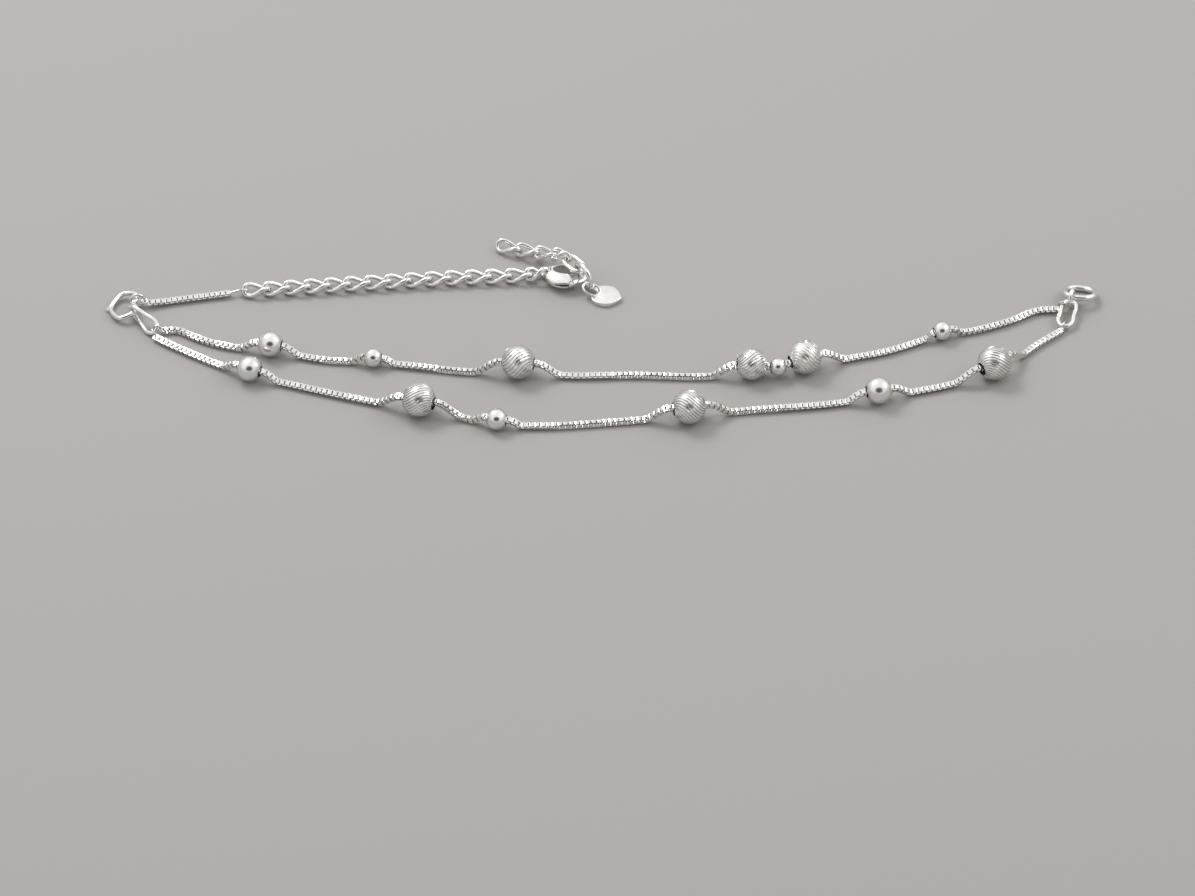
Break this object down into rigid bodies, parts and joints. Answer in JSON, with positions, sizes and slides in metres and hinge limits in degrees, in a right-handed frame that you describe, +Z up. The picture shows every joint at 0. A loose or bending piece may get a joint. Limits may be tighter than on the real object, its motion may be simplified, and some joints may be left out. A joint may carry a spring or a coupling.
{
  "type": "anklet",
  "caption": "Two-strand silver ball-bead anklet lying open, with a lobster clasp on a curb extension chain, an end ring to hook it in and a bare heart tag",
  "frame": {"origin": "middle of the footprint, on the table that the anklet lies on", "axes": "+X runs along the strands from the heart loop to the end ring, +Y from the beads to the clasp, +Z up"},
  "size_m": [0.1798, 0.0518, 0.0061],
  "materials": {
    "polished_silver": "polished sterling silver wire and castings",
    "chain_silver": "rolled and tumbled silver box chain",
    "cut_silver": "bright diamond-cut grooves on frosted silver balls",
    "satin_silver": "soft satin silver"
  },
  "bodies": {
    "anklet": {"back_bead_1": "satin_silver", "back_bead_2": "satin_silver", "back_bead_3": "cut_silver", "back_bead_4": "cut_silver", "back_bead_5": "satin_silver", "back_bead_6": "cut_silver", "back_bead_7": "satin_silver", "back_strand_chain": "chain_silver", "clasp_body": "polished_silver", "curb_link_1": "polished_silver", "curb_link_10": "polished_silver", "curb_link_11": "polished_silver", "curb_link_12": "polished_silver", "curb_link_13": "polished_silver", "curb_link_14": "polished_silver", "curb_link_15": "polished_silver", "curb_link_2": "polished_silver", "curb_link_3": "polished_silver", "curb_link_4": "polished_silver", "curb_link_5": "polished_silver", "curb_link_6": "polished_silver", "curb_link_7": "polished_silver", "curb_link_8": "polished_silver", "curb_link_9": "polished_silver", "end_ring": "polished_silver", "extension_box_chain": "chain_silver", "free_link_1": "polished_silver", "free_link_2": "polished_silver", "free_link_3": "polished_silver", "free_link_4": "polished_silver", "free_link_5": "polished_silver", "front_bead_1": "satin_silver", "front_bead_2": "cut_silver", "front_bead_3": "satin_silver", "front_bead_4": "cut_silver", "front_bead_5": "satin_silver", "front_bead_6": "cut_silver", "front_strand_chain": "chain_silver", "heart_jump_ring": "polished_silver", "heart_loop": "polished_silver", "heart_tag": "satin_silver", "hook_ring": "polished_silver", "left_link": "polished_silver", "right_jump_ring": "polished_silver", "right_link": "polished_silver"},
    "lever": {"clasp_lever": "polished_silver"}
  },
  "joints": [
    {"name": "lever_hinge", "type": "hinge", "parent": "anklet", "child": "lever", "pos_m": [-0.00723, 0.01474, 0.0018], "axis": [0, 0, 1], "range_deg": [0, 20], "stiffness_Nm_per_rad": 0.005}
  ]
}
